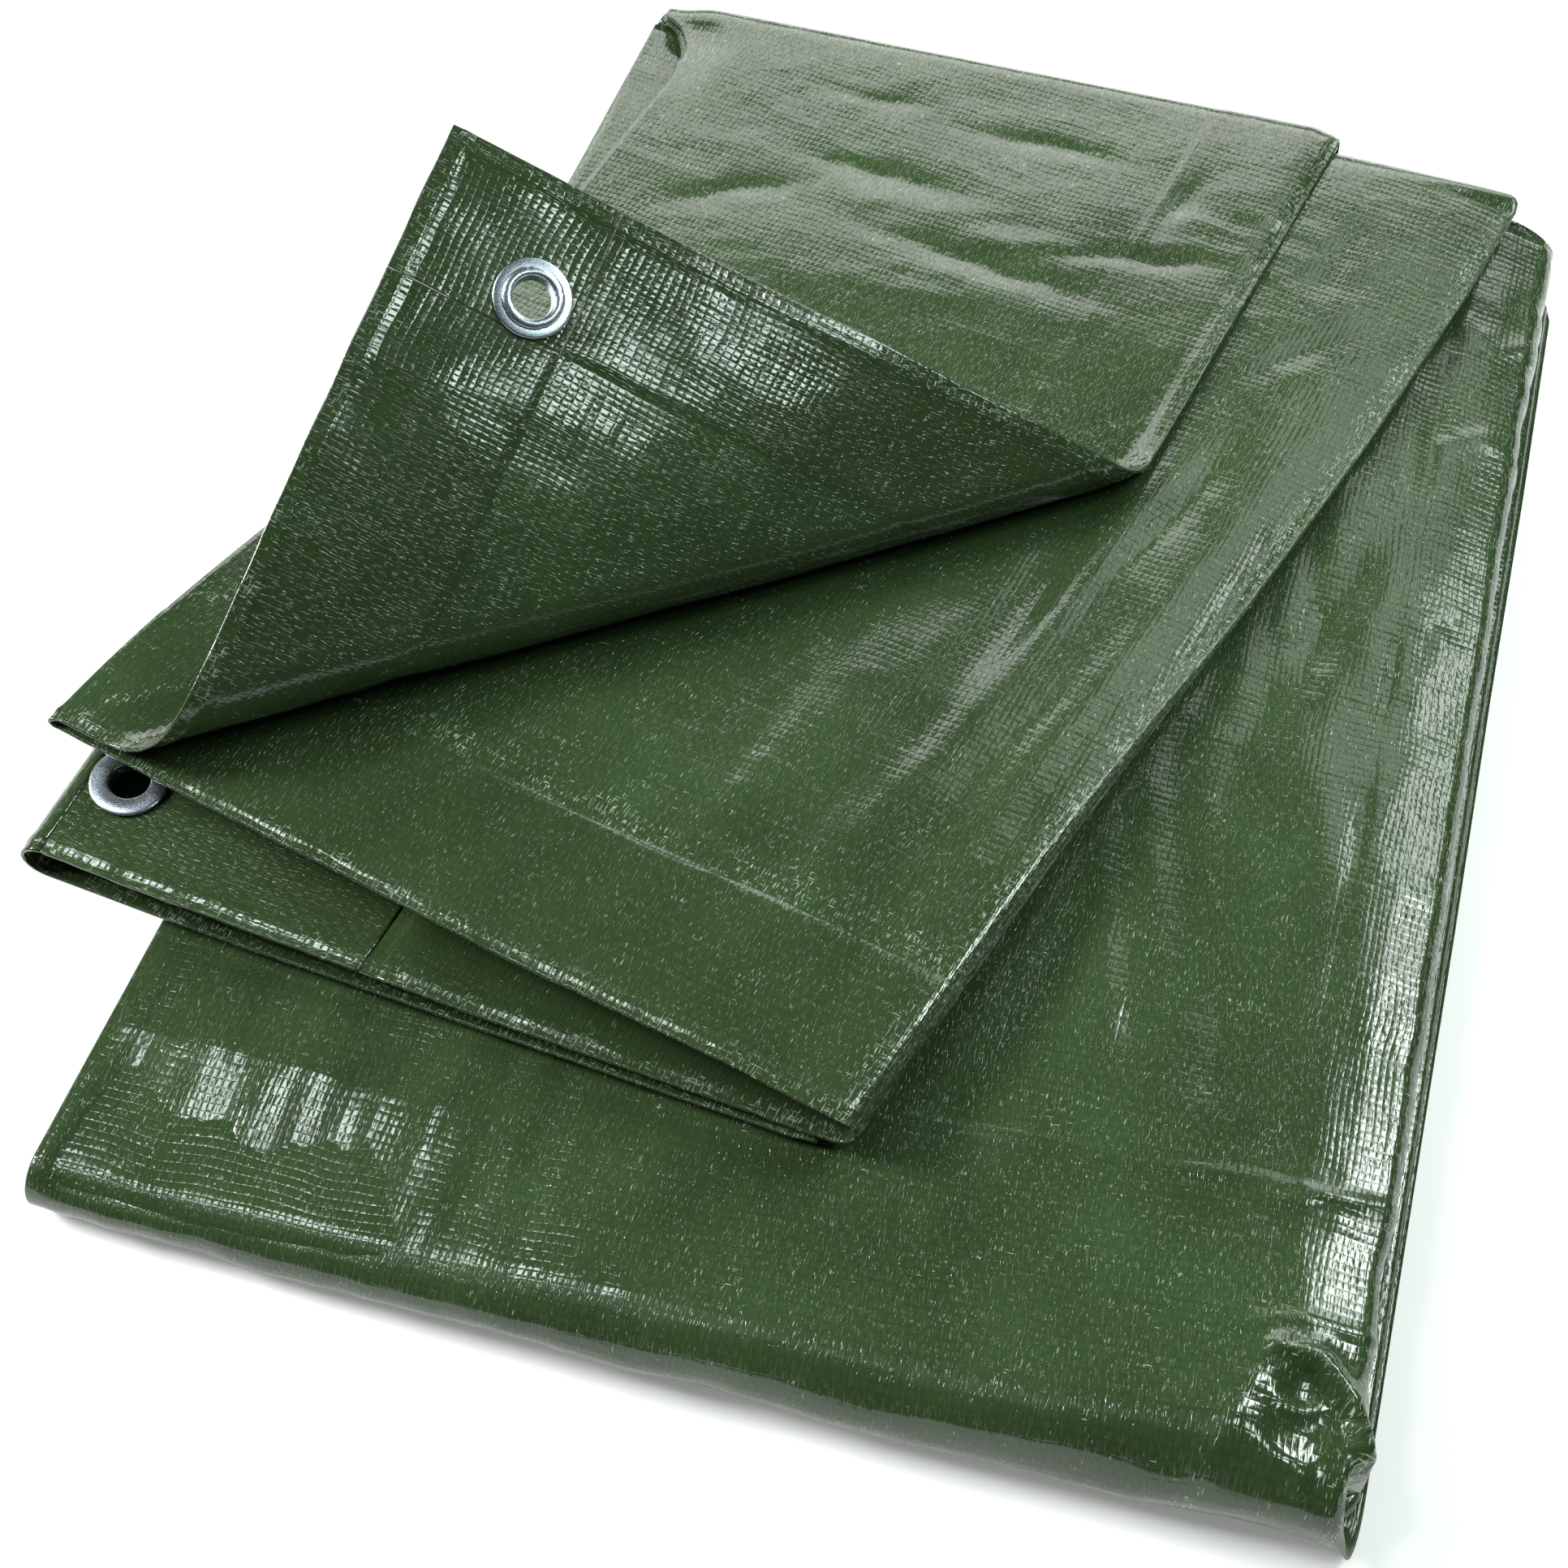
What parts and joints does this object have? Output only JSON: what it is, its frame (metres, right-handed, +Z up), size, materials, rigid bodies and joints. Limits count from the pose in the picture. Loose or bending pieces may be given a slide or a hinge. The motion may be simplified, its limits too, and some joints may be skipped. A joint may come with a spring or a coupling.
{
  "type": "folded tarpaulin",
  "caption": "Laminated woven tarpaulin folded into a flat packet, with its eyeleted hem corner turned back on top.",
  "frame": {"origin": "middle of the packet's footprint, on the floor", "axes": "+Z up through the layers, +X along the front folds to the right, +Y towards the back folds"},
  "size_m": [0.3886, 0.4962, 0.1524],
  "materials": {
    "laminate": "glossy",
    "welded_hem": "glossy",
    "eyelet_metal": "satin"
  },
  "bodies": {
    "root": {"tarp_sheet": "laminate", "corner_hem": "welded_hem", "end_hem": "welded_hem", "eyelet_corner": "eyelet_metal", "washer_corner": "eyelet_metal", "eyelet_end": "eyelet_metal", "washer_end": "eyelet_metal"}
  },
  "joints": []
}
